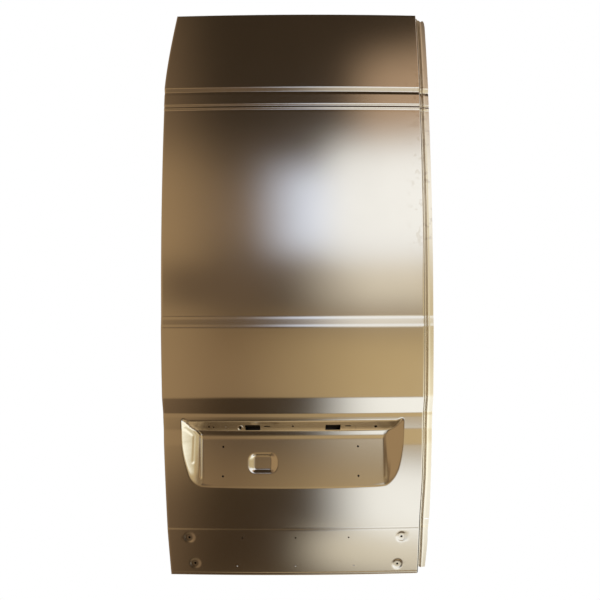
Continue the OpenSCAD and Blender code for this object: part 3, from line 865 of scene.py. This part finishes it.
def soft_card(tree, room, aim, side, height, colour):
    """A soft-edged card of light; side and height give, as the sine of the angle from
    straight ahead, where it begins, is full, is still full and ends."""
    across, up = aim
    share = math_node(
        tree, "MULTIPLY", fade(tree, across, side[1], side[0]), fade(tree, across, side[2], side[3])
    )
    share = math_node(tree, "MULTIPLY", share, fade(tree, up, height[1], height[0]))
    share = math_node(tree, "MULTIPLY", share, fade(tree, up, height[2], height[3]))
    return lay_over(tree, room, colour, share)


def height_ramp(tree, height, stops):
    """Colours by height, from stops of (place, colour)."""
    node = tree.nodes.new("ShaderNodeValToRGB")
    node.color_ramp.interpolation = "EASE"
    while len(node.color_ramp.elements) < len(stops):
        node.color_ramp.elements.new(0.5)
    for element, (at, colour) in zip(node.color_ramp.elements, stops):
        element.position = at
        element.color = (*colour, 1)
    tree.links.new(height, node.inputs["Fac"])
    return node.outputs["Color"]


def studio():
    """A white room to the camera; to the metal, a warm dim room with soft cards of light."""
    world = bpy.data.worlds.new("studio")
    bpy.context.scene.world = world
    world.use_nodes = True
    tree = world.node_tree
    nodes, links = tree.nodes, tree.links
    nodes.clear()
    where = nodes.new("ShaderNodeTexCoord")
    parts = nodes.new("ShaderNodeSeparateXYZ")
    links.new(where.outputs["Generated"], parts.inputs["Vector"])
    aim = (parts.outputs["X"], parts.outputs["Z"])
    height = nodes.new("ShaderNodeMapRange")
    height.inputs["From Min"].default_value = -1.0
    links.new(parts.outputs["Z"], height.inputs["Value"])
    room = height_ramp(tree, height.outputs["Result"], ROOM_STOPS)
    for side, tall, colour in LIGHT_CARDS:
        room = soft_card(tree, room, aim, side, tall, colour)
    back_room = height_ramp(tree, height.outputs["Result"], REAR_STOPS)
    for side, tall, colour in REAR_CARDS:
        back_room = soft_card(tree, back_room, aim, side, tall, colour)
    behind = fade(tree, parts.outputs["Y"], 0.3, -0.1)
    room = lay_over(tree, room, back_room, behind)
    room = soft_card(tree, room, aim, *FLOOR_CARD)
    ray = nodes.new("ShaderNodeLightPath")
    seen = lay_over(tree, room, (1.0, 1.0, 1.0), ray.outputs["Is Camera Ray"])
    light = nodes.new("ShaderNodeBackground")
    links.new(seen, light.inputs["Color"])
    out = nodes.new("ShaderNodeOutputWorld")
    links.new(light.outputs["Background"], out.inputs["Surface"])


# The dim room ahead of the leaf and the plainer one behind it, by height.
ROOM_STOPS = [
    (0.04, (0.16, 0.11, 0.06)), (0.13, (0.05, 0.03, 0.015)), (0.22, (0.045, 0.028, 0.014)),
    (0.36, (0.26, 0.17, 0.09)), (0.45, (0.22, 0.14, 0.07)), (0.50, (0.085, 0.06, 0.04)),
    (0.64, (0.20, 0.135, 0.08)), (0.80, (0.042, 0.028, 0.016)),
]
REAR_STOPS = [
    (0.03, (0.12, 0.085, 0.05)), (0.34, (0.50, 0.46, 0.42)), (0.46, (0.30, 0.28, 0.26)),
    (0.56, (0.62, 0.60, 0.58)), (0.72, (1.05, 1.03, 1.00)), (0.92, (0.75, 0.74, 0.73)),
]

# Cards of light ahead of the leaf as (side, height, colour), later ones over earlier ones.
# They were set in rounds, until the steel mirrored tones like the photograph's.
LIGHT_CARDS = [
    # far left wall
    ((-1.4, -1.2, -0.40, -0.18), (-0.95, -0.75, 0.9, 1.1), (0.23, 0.15, 0.085)),
    ((-1.4, -1.2, -0.38, -0.16), (-0.62, -0.42, 0.36, 0.58), (0.40, 0.27, 0.14)),
    # shade across it at eye height
    ((-0.44, -0.30, -0.14, -0.02), (-0.05, 0.02, 0.08, 0.17), (0.13, 0.085, 0.05)),
    # warm wall to the right, broadly lit
    ((-0.22, 0.26, 1.2, 1.4), (-0.56, -0.38, -0.17, -0.01), (0.62, 0.47, 0.25)),
    # glow under the window
    ((-0.06, 0.22, 0.34, 0.46), (-0.11, 0.05, 0.2, 0.3), (0.86, 0.79, 0.66)),
    ((0.32, 0.44, 1.2, 1.4), (-0.56, -0.40, 0.3, 0.4), (0.62, 0.50, 0.28)),
    # ceiling, a little light to the right
    ((0.08, 0.22, 1.2, 1.4), (0.40, 0.50, 0.66, 0.78), (0.53, 0.37, 0.24)),
    # large window to the right, cold at its near edge
    ((-0.15, 0.06, 1.2, 1.4), (0.10, 0.24, 0.36, 0.51), (0.94, 1.06, 1.34)),
    ((0.02, 0.14, 1.2, 1.4), (0.07, 0.23, 0.43, 0.58), (1.17, 1.21, 1.25)),
    # open side, far to the right
    ((0.62, 0.80, 1.2, 1.4), (-0.62, -0.50, 0.30, 0.55), (0.80, 0.72, 0.52)),
    ((0.34, 0.56, 1.2, 1.4), (-0.62, -0.50, -0.36, -0.10), (1.35, 1.34, 1.16)),
    # sunlit floor to the right, and its dimmer near part
    ((0.01, 0.20, 1.2, 1.4), (-0.82, -0.68, -0.56, -0.43), (1.20, 1.24, 1.26)),
    ((-0.06, 0.12, 1.2, 1.4), (-0.82, -0.74, -0.72, -0.67), (0.86, 0.80, 0.66)),
]

# The floor in front of the leaf, under its foot.
FLOOR_CARD = ((-0.26, 0.14, 1.2, 1.4), (-1.2, -1.1, -0.95, -0.85), (0.70, 0.54, 0.32))

# Cards behind the leaf, in the same terms.
REAR_CARDS = [
    ((-1.4, -1.2, -0.25, 0.05), (-0.9, -0.6, 0.1, 0.3), (0.20, 0.16, 0.12)),
    ((-0.20, 0.12, 1.2, 1.4), (0.00, 0.18, 0.45, 0.65), (1.20, 1.22, 1.25)),
]


def add_floor():
    """A white floor that only the camera sees, from above; it takes no shadow."""
    bm = bmesh.new()
    bmesh.ops.create_grid(bm, x_segments=1, y_segments=1, size=6.0)
    bmesh.ops.translate(bm, verts=bm.verts, vec=place(MID_X, 0, -4))
    floor = add_object("floor", bm)
    mat = bpy.data.materials.new("pale_floor")
    mat.use_nodes = True
    tree = mat.node_tree
    tree.nodes.clear()
    white = tree.nodes.new("ShaderNodeEmission")
    clear = tree.nodes.new("ShaderNodeBsdfTransparent")
    ray = tree.nodes.new("ShaderNodeLightPath")
    side = tree.nodes.new("ShaderNodeNewGeometry")
    front = math_node(tree, "SUBTRACT", 1.0, side.outputs["Backfacing"])
    shown = math_node(tree, "MULTIPLY", ray.outputs["Is Camera Ray"], front)
    mix = tree.nodes.new("ShaderNodeMixShader")
    tree.links.new(shown, mix.inputs["Fac"])
    tree.links.new(clear.outputs["BSDF"], mix.inputs[1])
    tree.links.new(white.outputs["Emission"], mix.inputs[2])
    out = tree.nodes.new("ShaderNodeOutputMaterial")
    tree.links.new(mix.outputs["Shader"], out.inputs["Surface"])
    floor.data.materials.append(mat)


dress_nodes()
dress(outer_skin(), SKIN_STEEL)
dress(closing_flange(), FLANGE_STEEL)
dress(clip_ring(), SKIN_STEEL)
dress(inner_pressing(), INNER_STEEL)
dress(hinge_seat("hinge_seat_lower", HINGE_Z[0]), INNER_STEEL)
dress(hinge_seat("hinge_seat_upper", HINGE_Z[1]), INNER_STEEL)
add_camera()
add_floor()
studio()
bpy.context.scene.view_settings.view_transform = "Standard"
